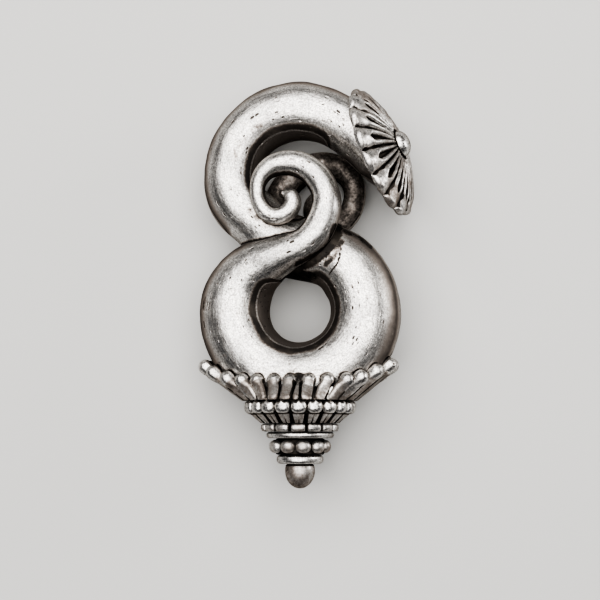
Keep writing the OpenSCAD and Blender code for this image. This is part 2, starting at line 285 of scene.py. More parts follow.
# Ring: turn round its centre, reach from it, radius of the bar
RING = np.array([
    [167, RING_REACH - 0.08, RING_BAR - 0.1], [185, RING_REACH, RING_BAR],
    [210, RING_REACH, RING_BAR], [240, RING_REACH, RING_BAR], [270, RING_REACH, RING_BAR],
    [300, RING_REACH, RING_BAR], [330, RING_REACH, RING_BAR],
    [355, RING_REACH - 0.1, RING_BAR - 0.08], [380, RING_REACH - 0.3, RING_BAR - 0.26],
    [402, RING_REACH - 0.45, RING_BAR - 0.42], [421, RING_REACH - 0.65, RING_BAR - 0.66]])

# Hook: turn back round the hook's centre, reach from it, radius of the bar, slant of the section
HOOK = np.array([
    [275.5, 9.72, 4.20, 0], [252, 8.80, 4.22, 0], [227, 7.78, 3.90, 0], [208, 8.60, 3.88, 0],
    [193, 9.02, HOOK_BAR + 0.02, 0], [167, HOOK_REACH + 0.17, HOOK_BAR + 0.02, 0],
    [137, HOOK_REACH + 0.2, HOOK_BAR, 0], [110, HOOK_REACH + 0.07, HOOK_BAR, 0],
    [86, HOOK_REACH, HOOK_BAR, 0], [69, 9.03, 3.69, 0], [56, 9.18, 3.56, 5],
    [46, 9.30, 3.50, 20], [36.5, 9.56, 3.46, 37], [29.7, 9.9, 3.7, 49.5]])

# Where the bar's slanted end meets the flower: distance up its back, half length, half width. Stations
# of the stretch that goes over into it, and how many of the last ones are blurred, and by how much.
HOOK_END = (0.55, 6.8, 3.42)
END_STATIONS = 8
END_BLURRED = 44
END_BLUR = 3


def rotation(angle, axis):
    """Matrix of a turn about the X or Y axis."""
    return np.array(Matrix.Rotation(angle, 3, axis))


LAY = rotation(PITCH, "X") @ rotation(ROLL, "Y") @ rotation(-math.pi / 2, "X")


def laid(points):
    """Row coordinates in metres: the upright point turned onto its back, tipped and shifted."""
    return (points @ LAY.T + REST_SHIFT) * MM


def upright(points):
    """Upright coordinates in millimetres: the reverse of laid()."""
    return (points / MM - REST_SHIFT) @ LAY


def unit(vectors):
    """Each vector divided by its length."""
    return vectors / np.linalg.norm(vectors, axis=-1, keepdims=True)


def smooth_step(low, high, value):
    """0 under low, 1 over high, and 3t^2 - 2t^3 between them."""
    t = np.clip((value - low) / (high - low), 0, 1)
    return t * t * (3 - 2 * t)


def fading(distance, length):
    """1 at a distance of nothing or less, and e^(-distance / length) beyond."""
    return np.exp(-np.clip(distance, 0, 9) / length)


def bell(distance, width, height):
    """A soft bell: height x e^-(distance / width)^2."""
    return height * np.exp(-(distance / width) ** 2)


def waver(points, seed, length, height):
    """A gentle unevenness: sine waves in random directions, summed and divided by their number's root."""
    random = np.random.default_rng(seed)
    ways = unit(random.normal(size=(WAVES, 3))) * random.uniform(0.7, 1.5, (WAVES, 1)) * 2 * math.pi / length
    phases = random.uniform(0, 2 * math.pi, WAVES)
    return height * np.sin(points @ ways.T + phases).sum(-1) / math.sqrt(WAVES)


def grid_faces(rows, columns, rows_close=False):
    """Quads of a grid whose columns close on themselves, and whose rows do too when asked."""
    r = np.arange(rows if rows_close else rows - 1)[:, None]
    c = np.arange(columns)[None]
    below = (r + 1) % rows * columns
    beside = (c + 1) % columns
    here = r * columns
    return np.stack([here + c, here + beside, below + beside, below + c], -1).reshape(-1, 4)


def tube_faces(rows, columns):
    """Quads of a tube with a fan to a point at each end; the two points come after the grid."""
    rim = np.arange(columns)
    after = np.roll(rim, -1)
    count = rows * columns
    last = count - columns
    start = np.stack([after, rim, np.full(columns, count)], -1)
    end = np.stack([rim + last, after + last, np.full(columns, count + 1)], -1)
    return [grid_faces(rows, columns), start, end]


def repeated(faces, copies, count):
    """The faces of one shape once for each of its copies, which have that count of points each."""
    offsets = np.arange(copies) * count
    return [(part[None] + offsets[:, None, None]).reshape(-1, part.shape[-1]) for part in faces]


def make_piece(name, points, faces, attributes=None):
    """An object at the origin whose mesh holds the upright points, laid down, and its attributes."""
    mesh = bpy.data.meshes.new(name)
    mesh.from_pydata(laid(points).tolist(), [], [f for part in faces for f in part.tolist()])
    face_outwards(mesh)
    mesh.shade_smooth()
    piece = bpy.data.objects.new(name, mesh)
    bpy.context.scene.collection.objects.link(piece)
    for key, values in (attributes or {}).items():
        give(piece, key, values)
    return piece


def face_outwards(mesh):
    """Turns a closed mesh's faces round if the volume that they enclose comes out negative."""
    shell = bmesh.new()
    shell.from_mesh(mesh)
    if shell.calc_volume(signed=True) < 0:
        bmesh.ops.reverse_faces(shell, faces=shell.faces)
        shell.to_mesh(mesh)
    shell.free()


def give(piece, key, values):
    """Writes one number, or one vector, for each vertex."""
    kind, field = ("FLOAT", "value") if values.ndim == 1 else ("FLOAT_VECTOR", "vector")
    attribute = piece.data.attributes.new(key, kind, "POINT")
    attribute.data.foreach_set(field, np.asarray(values, np.float32).ravel())


def vertices(piece):
    """The piece's vertices, upright and in millimetres."""
    co = np.empty(len(piece.data.vertices) * 3, np.float32)
    piece.data.vertices.foreach_get("co", co)
    return upright(co.reshape(-1, 3).astype(float))


def without_slivers(mesh):
    """Deletes the closed shells of a few vertices that a Boolean can leave where solids barely cross."""
    ends = np.empty(len(mesh.edges) * 2, np.int32)
    mesh.edges.foreach_get("vertices", ends)
    first, second = ends.reshape(-1, 2).T
    shell_of = np.arange(len(mesh.vertices))
    settled = False
    while not settled:
        lower = np.minimum(shell_of[first], shell_of[second])
        joined = shell_of.copy()
        np.minimum.at(joined, first, lower)
        np.minimum.at(joined, second, lower)
        joined = joined[joined]
        settled = bool((joined == shell_of).all())
        shell_of = joined
    tiny = np.bincount(shell_of, minlength=len(shell_of))[shell_of] < SLIVER
    shells = bmesh.new()
    shells.from_mesh(mesh)
    slivers = [vertex for vertex, gone in zip(shells.verts, tiny.tolist()) if gone]
    bmesh.ops.delete(shells, geom=slivers, context="VERTS")
    shells.to_mesh(mesh)
    shells.free()


def combine(piece, others, operation):
    """Joins other closed solids to the piece, or cuts them out of it, and deletes them."""
    for other in others:
        change = piece.modifiers.new(operation, "BOOLEAN")
        change.operation = operation
        change.solver = "MANIFOLD"
        change.object = other
    graph = bpy.context.evaluated_depsgraph_get()
    mesh = bpy.data.meshes.new_from_object(piece.evaluated_get(graph))
    piece.modifiers.clear()
    without_slivers(mesh)
    piece.data = mesh
    for other in others:
        bpy.data.objects.remove(other)
    mesh.shade_smooth()
    mesh.set_sharp_from_angle(angle=CREASE)


def catmull_rom(rows, steps):
    """Points on the Catmull-Rom curve through the rows, with every column carried along."""
    ends = np.concatenate([rows[:1], rows, rows[-1:]])
    a, b, c, d = (ends[i:len(rows) - 1 + i, None] for i in range(4))
    t = (np.arange(steps) / steps)[None, :, None]
    curve = (2 * b + (c - a) * t + (2 * a - 5 * b + 4 * c - d) * t ** 2
             + (3 * b - a - 3 * c + d) * t ** 3) / 2
    return np.concatenate([curve.reshape(-1, rows.shape[1]), rows[-1:]])


def soften(rows, width):
    """A Gaussian blur along the rows, mirrored through both ends so that they stay in place."""
    half = int(3 * width) + 1
    weights = np.exp(-0.5 * (np.arange(-half, half + 1) / width) ** 2)
    before = 2 * rows[:1] - rows[half:0:-1]
    after = 2 * rows[-1:] - rows[-2:-half - 2:-1]
    long = np.concatenate([before, rows, after])
    return np.stack([np.convolve(column, weights / weights.sum(), "valid") for column in long.T], -1)


def true_soften(way):
    """A way blurred without shrinking its bends: 2B - BB, little at the scroll's tip and more beyond."""
    ways = []
    for width in (SOFTENING, WIDE_SOFTENING):
        once = soften(way, width / STATION)
        ways.append(2 * once - soften(once, width / STATION))
    wide = smooth_step(*WIDENING, np.arange(len(way)) * STATION)[:, None]
    return ways[0] * (1 - wide) + ways[1] * wide


def even(rows, step):
    """The rows again at equal distances along their first three columns."""
    far = np.concatenate([[0], np.cumsum(np.linalg.norm(np.diff(rows[:, :3], axis=0), axis=1))])
    at = np.linspace(0, far[-1], int(far[-1] / step) + 1)
    return np.stack([np.interp(at, far, column) for column in rows.T], -1)


def round_the(centre, rows):
    """Rows of turn and reach about a centre as across and up, with the other columns kept."""
    turn = np.radians(rows[:, 0])
    across = centre[0] + rows[:, 1] * np.cos(turn)
    up = centre[1] + rows[:, 1] * np.sin(turn)
    return np.column_stack([across, up, rows[:, 2:]])


def stations(across, depth, up, radius, slant=0.0):
    """Columns x, y, z, radius and slant, one row for each station."""
    return np.column_stack(np.broadcast_arrays(across, depth, up, radius, slant))


def sections(way):
    """Centre and two half axes of each section: one in the coil's plane, slanted, and one through it.

    The slanted one is (side x cos s + along x sin s) x radius / cos s, with s the slant.
    """
    along = unit(np.gradient(way[:, :3], axis=0))
    side = unit(np.cross([0.0, 1.0, 0.0], along))
    through = np.cross(along, side)
    radius, slant = way[:, 3:4], np.radians(way[:, 4:5])
    leaning = (side * np.cos(slant) + along * np.sin(slant)) * radius / np.cos(slant)
    return np.stack([way[:, :3], leaning, through * radius], 1)


def domed(rows):
    """The sections with a half-ball of smaller ones set before the first."""
    centre, leaning, through = rows[0]
    back = unit(centre - rows[1, 0]) * np.linalg.norm(through)
    turns = DOME_TURNS[:, None]
    dome = np.stack([centre + back * np.sin(turns), leaning * np.cos(turns), through * np.cos(turns)], 1)
    return np.concatenate([dome, rows])


def scroll_tip(name, way):
    """The hooked end of a scroll, a short bar with a half-ball at each end, so that it can't fold."""
    rows = domed(domed(sections(way[:TIP_STATIONS + 2]))[::-1])
    points, _ = bar_surface(rows)
    ends = points[[0, -1]].mean(1)
    return make_piece(name, np.concatenate([points.reshape(-1, 3), ends]), tube_faces(len(rows), SIDES))


def bar_ways():
    """Stations of the main bar, from the front scroll's tip to the flower, and of the back bar."""
    scroll = stations(FRONT_SCROLL_AT[0] + SCROLL[:, 0], -SCROLL_DEPTH,
                      FRONT_SCROLL_AT[1] + SCROLL[:, 1], SCROLL[:, 2])
    strand = round_the((0, 0), catmull_rom(STRAND, 3))
    ring = round_the((0, 0), catmull_rom(RING, 5))
    hook = round_the(HOOK_AT, catmull_rom(HOOK, 4))
    main = np.concatenate([
        scroll,
        stations(strand[:, 0], -strand[:, 3] * SCROLL_DEPTH, strand[:, 1], strand[:, 2]),
        stations(ring[:, 0], 0, ring[:, 1], ring[:, 2]),
        stations(hook[:, 0], 0, hook[:, 1], hook[:, 2], hook[:, 3])])
    back = np.concatenate([
        stations(BACK_SCROLL_AT[0] - BACK_GROWTH * SCROLL[:, 0], SCROLL_DEPTH,
                 BACK_SCROLL_AT[1] + BACK_GROWTH * SCROLL[:, 1],
                 np.minimum(2 * SCROLL[:, 2], 0.9 + 0.6 * SCROLL[:, 2])),
        stations(-strand[:, 0], strand[:, 3] * SCROLL_DEPTH,
                 strand[:, 1] + BACK_LIFT * strand[:, 3], strand[:, 2])])
    return [true_soften(even(catmull_rom(way, 8), STATION)) for way in (main, back)]


def flower_directions():
    """The flower's own directions: across it, up its back and out of its face."""
    out = np.array([math.cos(FLOWER_PITCH) * math.cos(FLOWER_TURN),
                    -math.cos(FLOWER_PITCH) * math.sin(FLOWER_TURN), math.sin(FLOWER_PITCH)])
    across = np.array([math.sin(FLOWER_TURN), math.cos(FLOWER_TURN), 0])
    return across, np.cross(out, across), out


def slanted_end(rows):
    """The hook's sections with a last stretch that goes over into its face on the flower's back."""
    across, up, out = flower_directions()
    face = np.stack([FLOWER_AT + up * HOOK_END[0] - out * GAP, -up * HOOK_END[1], across * HOOK_END[2]])
    last = np.linspace(0, 1, END_STATIONS + 1)[1:, None, None]
    longer = np.concatenate([rows, rows[-1] + (face - rows[-1]) * last])
    tail = longer[-END_BLURRED:]
    longer[-END_BLURRED:] = soften(tail.reshape(END_BLURRED, -1), END_BLUR).reshape(tail.shape)
    return longer


def bar_surface(rows):
    """A grid of points round each section: centre + half axis 1 x cos + half axis 2 x sin."""
    turn = 2 * math.pi * np.arange(SIDES) / SIDES
    ring = rows[:, 1, None] * np.cos(turn)[:, None] + rows[:, 2, None] * np.sin(turn)[:, None]
    return rows[:, None, 0] + ring, unit(ring)


def distance_to_bar(points, centres, radii, skip=None):
    """Distance from each point to the nearest of a bar's round sections, and which one that is."""
    nearest = np.empty(len(points))
    index = np.empty(len(points), int)
    for first in range(0, len(points), AT_ONCE):
        part = slice(first, first + AT_ONCE)
        far = np.linalg.norm(points[part, None] - centres, axis=2) - radii
        if skip is not None:
            far[skip[part]] = FAR
        index[part] = far.argmin(1)
        nearest[part] = far.min(1)
    return nearest, index


def distance_to_next_bar(points, along, bars):
    """Distance from a bar's points to the coil, without what is close to them along the same bar."""
    near = np.abs(along[:, None] - bars["along"][COARSE]) < APART
    return distance_to_bar(points, bars["centres"][COARSE], bars["radii"][COARSE], near)[0]


def coil_bars():
    """The scrolls' tips, both bars' sections, and one table of all their centres and radii."""
    main_way, back_way = bar_ways()
    tips = [scroll_tip("front_tip", main_way), scroll_tip("back_tip", back_way)]
    main = slanted_end(domed(sections(main_way)[TIP_STATIONS:]))
    back = domed(sections(back_way)[TIP_STATIONS:])
    centres = np.concatenate([main[:, 0], back[:, 0]])
    radii = np.linalg.norm(np.concatenate([main[:, 2], back[:, 2]]), axis=1)
    steps = [np.linalg.norm(np.diff(rows[:, 0], axis=0), axis=1) for rows in (main, back)]
    along = np.concatenate([[0], np.cumsum(steps[0]), [BACK_STARTS], BACK_STARTS + np.cumsum(steps[1])])
    bars = {"centres": centres, "radii": radii, "along": along,
            "side": unit(np.concatenate([main[:, 1], back[:, 1]])),
            "through": unit(np.concatenate([main[:, 2], back[:, 2]]))}
    return tips, main, back, bars


def bar_piece(name, rows, first, last, bars, offset):
    """A closed bar from one station to another, a little uneven where it is thick, with fillets.

    The fillet is the swelling of a smooth union: (k - d)^2 / 4k, with d the distance to the other bar.
    """
    points, outward = bar_surface(rows[first:last])
    flat = points.reshape(-1, 3)
    uneven = waver(flat, *BAR_SWELL) + waver(flat, *BAR_DENTS)
    here = np.repeat(bars["along"][offset + first:offset + last], SIDES)
    apart = distance_to_next_bar(flat, here, bars)
    swell = np.clip(FILLET - np.abs(apart), 0, None) ** 2 / (4 * FILLET)
    size = np.linalg.norm(rows[first:last, 2], axis=1).repeat(SIDES)
    push = uneven * smooth_step(THIN_BAR, THICK_BAR, size) + swell
    flat = flat + outward.reshape(-1, 3) * push[:, None]
    count = last - first
    ends = flat.reshape(count, SIDES, 3)[[0, -1]].mean(1)
    return make_piece(name, np.concatenate([flat, ends]), tube_faces(count, SIDES))


def coil_marks(points, bars):
    """What the coil's finish reads at each point.

    flow is the place along the bar and across it. inward is 1 on the inner side of a bend and -1 on the
    outer side, and less where the bar is slim or straight. apart is the distance to the next bar.
    between marks what faces the middle plane from a scroll or strand.
    """
    _, index = distance_to_bar(points, bars["centres"], bars["radii"])
    centre = bars["centres"][index]
    out = points - centre
    in_plane = (out * bars["side"][index]).sum(1)
    through = (out * bars["through"][index]).sum(1)
    flow = np.column_stack([bars["along"][index], in_plane, through])
    facing = unit(np.column_stack([in_plane, through]))
    bend = np.gradient(unit(np.gradient(bars["centres"], axis=0)), axis=0)
    inward_side = (bend * bars["side"]).sum(1) / STATION
    strength = np.tanh(soften(inward_side[:, None], 6)[:, 0] * 18)
    slim = smooth_step(3.2, 1.8, bars["radii"][index])
    inward = facing[:, 0] * strength[index] * (1 - 0.27 * slim)
    apart = distance_to_next_bar(points, bars["along"][index], bars)
    off_plane = smooth_step(0.8, 2.5, np.abs(centre[:, 1]))
    between = 0.67 * off_plane * smooth_step(0.05, 0.4, -np.sign(centre[:, 1]) * facing[:, 1])
    return {"flow": flow, "inward": inward, "apart": apart, "between": between}


def coil():
    """The front, hook and back bars joined in one solid, with the marks that its finish needs.

    Painted shade darkens it where bars meet, with patina there as well, round the cup's heads, at the
    flower's back, between the scrolls and in the hole under the crossing. The painted shade on its
    outer side is less dark near the cup.
    """
    tips, main, back, bars = coil_bars()
    low = int(np.argmin(main[:, 0, 2]))
    piece = bar_piece("coil_skin", main, 0, low + 1, bars, 0)
    hook = bar_piece("hook_bar", main, low, len(main), bars, 0)
    behind = bar_piece("back_bar", back, 0, len(back), bars, len(main))
    combine(piece, [hook, behind, *tips], "UNION")
    points = vertices(piece)
    marks = coil_marks(points, bars)
    to_heads = np.linalg.norm(points[:, None] - petal_axes()[1], axis=2).min(1) - 0.86 * CUP_HEAD
    to_flower = (FLOWER_AT - points) @ flower_directions()[2]
    reach = np.hypot(points[:, 0], points[:, 2])
    in_hole = smooth_step(6.5, 5.7, reach) * smooth_step(-3.5, -2.7, points[:, 1])
    under_crossing = in_hole * smooth_step(2.0, 4.5, points[:, 2])
    # Painted shade where bars meet (with patina there too), round the cup's heads, at the flower's back,
    # between the scrolls and under the crossing
    give(piece, "shade_and_tarnish", np.maximum.reduce([
        fading(marks["apart"], 0.45), fading(to_heads, 0.24), fading(to_flower, 0.3),
        marks["between"], 0.8 * under_crossing]))
    # Less painted shade on the outer side near the cup
    by_the_cup = smooth_step(-7.5, -10.0, points[:, 2])
    give(piece, "inward", np.where(marks["inward"] < 0, 1 - 0.6 * by_the_cup, 1) * marks["inward"])
    give(piece, "flow", marks["flow"])
    give(piece, "painted_shadow_and_stain", painted_shadows_and_stains(piece, points))
    return piece


# Where the camera of the photograph stands: turned round the weight, its distance and horizon
VIEW_TURN = math.radians(10.5)
PIXEL = 0.135
FRAME_PX = 600
VIEW_PX = 1100
HORIZON_PX = 430
RING_PX = (300, 311)
VIEW_RIGHT = np.array([math.cos(VIEW_TURN), math.sin(VIEW_TURN), 0])
VIEW_AHEAD = np.array([-math.sin(VIEW_TURN), math.cos(VIEW_TURN), 0])

# Stains, a crack and painted shadows on the front, in pixels of the photograph: path, half width, strength.
# The painted shadows lie where one bar shades the next.
PAINTED_SHADOWS_AND_STAINS = [
    ([(230, 172), (237, 148), (250, 131), (264, 124)], 6.5, 0.5),
    ([(243, 297), (246, 312), (251, 324)], 5.0, 0.5),
    ([(249, 209), (258, 219), (270, 229)], 9.0, 0.5),
    ([(300, 266), (312, 260.5), (323, 253.5), (331, 245), (335, 235), (337, 228)], 8.0, 1.0),
    ([(344, 231), (360, 238), (371, 248)], 4.0, 0.75),
    ([(341, 249), (339.5, 258), (336, 266), (329, 274)], 1.1, 1.1),
    ([(326, 264), (335, 255), (341, 243)], 5.5, 0.75),
    ([(252, 157), (247, 176), (251, 195), (264, 210)], 6.5, 0.34),
    ([(360, 214), (351, 226)], 1.0, 1.0),
    ([(205, 296), (203, 310)], 3.0, 0.6),
    ([(214, 345), (226, 357)], 6.0, 0.45),
    ([(281, 369), (300, 372), (322, 369)], 3.0, 0.55),
]


def seen(points):
    """Pixels of the photograph where upright points fall: across x d/(d + depth), and so upwards."""
    depth = 1 + points @ VIEW_AHEAD / PIXEL / VIEW_PX
    across = RING_PX[0] + points @ VIEW_RIGHT / PIXEL / depth
    up = HORIZON_PX - (points[:, 2] / PIXEL + HORIZON_PX - RING_PX[1]) / depth
    return np.column_stack([across, up])


def painted_shadows_and_stains(piece, points):
    """How dark a point's stains and painted shadows make it: a bell over its distance from each path, and
    only on the front.
    """
    normals = np.empty(len(points) * 3, np.float32)
    piece.data.vertex_normals.foreach_get("vector", normals)
    front = smooth_step(0.0, 0.3, -(normals.reshape(-1, 3) @ LAY) @ VIEW_AHEAD)
    at = seen(points)
    total = np.zeros(len(points))
    for path, width, strength in PAINTED_SHADOWS_AND_STAINS:
        path = np.array(path, float)
        near = np.full(len(points), FAR)
        for a, b in zip(path[:-1], path[1:]):
            share = np.clip((at - a) @ (b - a) / ((b - a) @ (b - a)), 0, 1)
            near = np.minimum(near, np.linalg.norm(at - a - share[:, None] * (b - a), axis=1))
        total = np.maximum(total, bell(near, width, strength))
    return total * front


def turned(name, profile, columns, relief=None, place=None):
    """A profile of radius and level carried round the upright axis: (r cos t, r sin t, level).

    The relief adds to the radius, from the turn, the radius and the level. A profile that starts and
    ends on the axis is closed by points there, and any other one closes on itself. The unevenness is
    seeded with the length of the piece's name.
    """
    profile = np.asarray(profile, float)
    poles = profile[0, 0] < 1e-6
    rows = profile[1:-1] if poles else profile
    turn = 2 * math.pi * np.arange(columns) / columns
    radius = np.repeat(rows[:, :1], columns, 1)
    level = np.repeat(rows[:, 1:], columns, 1)
    if relief:
        radius = radius + relief(turn[None], radius, level)
    points = np.stack([radius * np.cos(turn), radius * np.sin(turn), level], -1).reshape(-1, 3)
    points = points + waver(points, len(name), *TURNED_DENTS)[:, None] * unit(points * [1, 1, 0] + 1e-9)
    faces = [grid_faces(len(rows), columns, rows_close=not poles)]
    if poles:
        ends = np.array([[0, 0, profile[0, 1]], [0, 0, profile[-1, 1]]])
        points = np.concatenate([points, ends])
        faces = tube_faces(len(rows), columns)
    return make_piece(name, place(points) if place else points, faces)


def fine(profile, step):
    """The profile with more points along its straight stretches, at most a step apart."""
    parts = []
    for a, b in zip(profile[:-1], profile[1:]):
        count = max(1, int(np.ceil(np.linalg.norm(np.subtract(b, a)) / step)))
        parts.append(np.asarray(a) + np.subtract(b, a) * (np.arange(count) / count)[:, None])
    return np.concatenate([*parts, [profile[-1]]])


def arc(centre, radius, start, end, steps):
    """Points of an arc in the plane of radius and level, from one turn to another, in degrees."""
    turn = np.radians(np.linspace(start, end, steps))
    return [(centre[0] + radius * c, centre[1] + radius * s) for c, s in zip(np.cos(turn), np.sin(turn))]


def soft_box(inner, foot, outer, top, corner):
    """Outline of a bar's section with rounded outer corners."""
    low = arc((outer - corner, foot + corner), corner, -90, 0, CORNER_POINTS)
    high = arc((outer - corner, top - corner), corner, 0, 90, CORNER_POINTS)
    loop = [(inner, foot), *low, *high, (inner, top), (inner, foot)]
    return fine(loop, OUTLINE_STEP)[:-1]


def balls(name, centres, radii, power, relief=None):
    """Rounded beads: |x|^p + |y|^p + |z|^p = 1 about each centre, turned to face out from the axis."""
    turn = 2 * math.pi * np.arange(BEAD_SIDES) / BEAD_SIDES
    tilt = np.linspace(-math.pi / 2, math.pi / 2, BEAD_ROWS + 2)[1:-1]
    x, y = np.cos(tilt)[:, None] * np.cos(turn), np.cos(tilt)[:, None] * np.sin(turn)
    way = np.stack([x, y, np.repeat(np.sin(tilt)[:, None], BEAD_SIDES, 1)], -1).reshape(-1, 3)
    way = np.concatenate([way, [[0, 0, -1], [0, 0, 1]]])
    size = (np.abs(way) ** power).sum(-1, keepdims=True) ** (-1 / power)
    local = way * size * radii
    if relief:
        local = local * (1 + relief(way))[:, None]
    out = unit(centres * [1, 1, 0])
    across = np.cross([0, 0, 1.0], out)
    axes = np.stack([out, across, np.broadcast_to([0, 0, 1.0], out.shape)], 1)
    points = centres[:, None] + local @ axes
    flat = points.reshape(-1, 3)
    flat = flat + waver(flat, *BEAD_DENTS)[:, None] * unit(np.tile(local, (len(centres), 1)))
    return make_piece(name, flat, repeated(tube_faces(BEAD_ROWS, BEAD_SIDES), len(centres), len(way)))


def round_places(count, radius, level, turn=0.0):
    """Places at equal turns round the axis, the first one turned from the front."""
    at = 2 * math.pi * np.arange(count) / count - math.pi / 2 + turn
    return np.column_stack([radius * np.cos(at), radius * np.sin(at), np.full(count, level)])


def ring_seat():
    """The room that the ring's bar takes out of the base: a torus a little thicker than the bar."""
    turn = 2 * math.pi * np.arange(SEAT_TURNS)[:, None] / SEAT_TURNS
    round_bar = 2 * math.pi * np.arange(SEAT_SIDES) / SEAT_SIDES
    reach = RING_REACH + (RING_BAR + SEAT_GAP) * np.cos(round_bar)
    depth = (RING_BAR + SEAT_GAP) * np.sin(round_bar)
    points = np.stack(np.broadcast_arrays(reach * np.cos(turn), depth, reach * np.sin(turn)), -1)
    return make_piece("ring_seat", points.reshape(-1, 3),
                      [grid_faces(SEAT_TURNS, SEAT_SIDES, rows_close=True)])


def head_at(turn):
    """Middles of the cup petals' heads, which follow the ring's bar from its low front to its sides."""
    t = turn - CUP_CROWD * np.sin(2 * turn)
    up = CUP_FRONT + CUP_SADDLE * np.sin(t) ** CUP_LATE
    hug = RING_BAR + CUP_HUG + CUP_SPLAY * np.sin(t) ** 2
    across = np.sqrt((RING_REACH + hug) ** 2 - up * up) * np.sin(t)
    deep = np.sqrt(np.maximum(0, hug * hug - (np.hypot(across, up) - RING_REACH) ** 2))
    return np.stack([CUP_SHIFT + across, np.where(np.cos(t) > 0, -deep, deep), up], -1)


def foot_at(turn):
    """Middles of the cup petals' toes, on a circle at the cup's foot."""
    reach = CUP_FOOT_R - CUP_TOE
    level = np.full_like(turn, CUP_FOOT + CUP_TOE)
    return np.stack([CUP_SHIFT / 2 + reach * np.sin(turn), -reach * np.cos(turn), level], -1)


def petal_axes():
    """Foot, head, length direction, outward and sideways directions of each cup petal."""
    turn = 2 * math.pi * (np.arange(CUP_PETALS) + 0.5) / CUP_PETALS
    foot, head = foot_at(turn), head_at(turn)
    for petal, (aside, _) in UNEVEN_PETALS.items():
        head[petal, 0] += aside
        foot[petal, 0] += 0.5 * aside
    along = unit(head - foot)
    radial = np.stack([np.sin(turn), -np.cos(turn), np.zeros_like(turn)], -1)
    out = unit(radial - along * (radial * along).sum(-1, keepdims=True))
    return foot, head, along, out, np.cross(along, out)


def petal_width(share):
    """Half width of each petal: its share of the room between its neighbours, with a slight neck.

    It grows evenly from the toe to the head. An uneven petal has its own share of a full width at the
    head, and half as much of the difference at the toe.
    """
    foot, head = petal_axes()[:2]
    room = [np.linalg.norm(np.roll(p, -1, 0) - np.roll(p, 1, 0), axis=1) / 2 for p in (foot, head)]
    full = np.ones(CUP_PETALS)
    for petal, (_, part) in UNEVEN_PETALS.items():
        full[petal] = part
    low = np.minimum(TOE_FILL * room[0], WIDEST_TOE) * (0.5 + 0.5 * full)
    high = np.minimum(np.minimum(HEAD_FILL * room[1], CUP_HEAD) * full, CUP_HEAD)
    neck_at, *neck_size = PETAL_NECK
    neck = 1 - bell(share - neck_at, *neck_size)
    return (low[:, None] + (high - low)[:, None] * share) * neck


def cup_petals():
    """Spoon-shaped petals: flat-faced shafts that widen into round heads, closed at both ends.

    A section is a superellipse, |x/w|^p + |y/d|^p = 1, with width, depth and p given along the shaft.
    Every second petal is in the one piece and the rest in the other, so that no piece crosses itself.
    """
    foot, head, along, out, side = petal_axes()
    foot = foot - [0, 0, CUP_TRIM]
    span = np.linalg.norm(head - foot, axis=-1)[:, None]
    below = np.radians(np.linspace(-86, -8, PETAL_TOE_ROWS))
    above = np.radians(np.linspace(8, 87, PETAL_HEAD_ROWS))
    shaft = np.linspace(0, 1, PETAL_SHAFT_ROWS)
    place = np.concatenate([CUP_TOE * np.sin(below), 0 * shaft, CUP_HEAD * np.sin(above)])
    share = np.concatenate([0 * below, shaft, above ** 0])
    shrink = np.concatenate([np.cos(below), shaft ** 0, np.cos(above)])
    width = petal_width(share) * shrink
    full = np.minimum(petal_width(np.ones(1)) / (FULL_HEAD * CUP_HEAD), 1)
    thin = SHAFT_THIN * CUP_TOE
    depth = (thin + (CUP_HEAD * full - thin) * smooth_step(0.55, 1.0, share)) * shrink
    power = SHAFT_POWER - (SHAFT_POWER - HEAD_POWER) * smooth_step(0.5, 1.0, share)
    turn = 2 * math.pi * np.arange(PETAL_SIDES) / PETAL_SIDES
    c, s = np.cos(turn), np.sin(turn)
    size = (np.abs(c) ** power[:, None] + np.abs(s) ** power[:, None]) ** (-1 / power[:, None])
    x, y = width[..., None] * size * c, depth[..., None] * size * s
    at = foot[:, None] + along[:, None] * (share * span + place)[..., None]
    points = at[:, :, None] + x[..., None] * side[:, None, None] + y[..., None] * out[:, None, None]
    points = points.reshape(CUP_PETALS, -1, 3)
    tips = np.stack([foot - along * CUP_TOE, head + along * CUP_HEAD], 1)
    points = np.concatenate([points, tips], 1)
    flat = points.reshape(-1, 3)
    flat = flat + waver(flat, *CUP_DENTS)[:, None] * unit(flat * [1, 1, 0])
    petals = flat.reshape(points.shape)
    faces = repeated(tube_faces(len(share), PETAL_SIDES), CUP_PETALS // 2, points.shape[1])
    return [make_piece(name, petals[first::2].reshape(-1, 3), faces)
            for name, first in (("petal_cup_skin", 0), ("petals_between", 1))]


def cup_wall():
    """The wall behind the petals: straight lines from a foot circle to a rim under the heads."""
    turn = 2 * math.pi * np.arange(WALL_POINTS) / WALL_POINTS
    head = head_at(turn)
    rim = head - [0, 0, CUP_HEAD] + unit(head * [1, 1, 0]) * CUP_WALL
    foot = CUP_FOOT - CUP_TRIM
    reach = CUP_FOOT_R - CUP_INSET
    low = np.stack([reach * np.sin(turn), -reach * np.cos(turn), np.full_like(turn, foot)], -1)
    rows = low + (rim - low) * np.linspace(0, 1, WALL_ROWS)[:, None, None]
    points = np.concatenate([rows.reshape(-1, 3), [[0, 0, foot], [0, 0, rim[:, 2].mean()]]])
    return make_piece("cup_wall", points, tube_faces(WALL_ROWS, WALL_POINTS))


def cup_floor_cut():
    """What lies under the cup's foot: a flat drum that trims the petals' toes."""
    wide = CUP_FOOT_R + DRUM_WIDER
    low = CUP_FOOT - DRUM_DEPTH
    return turned("cup_floor_cut", [(0, low), (wide, low), (wide, CUP_FOOT), (0, CUP_FOOT)], DRUM_POINTS)


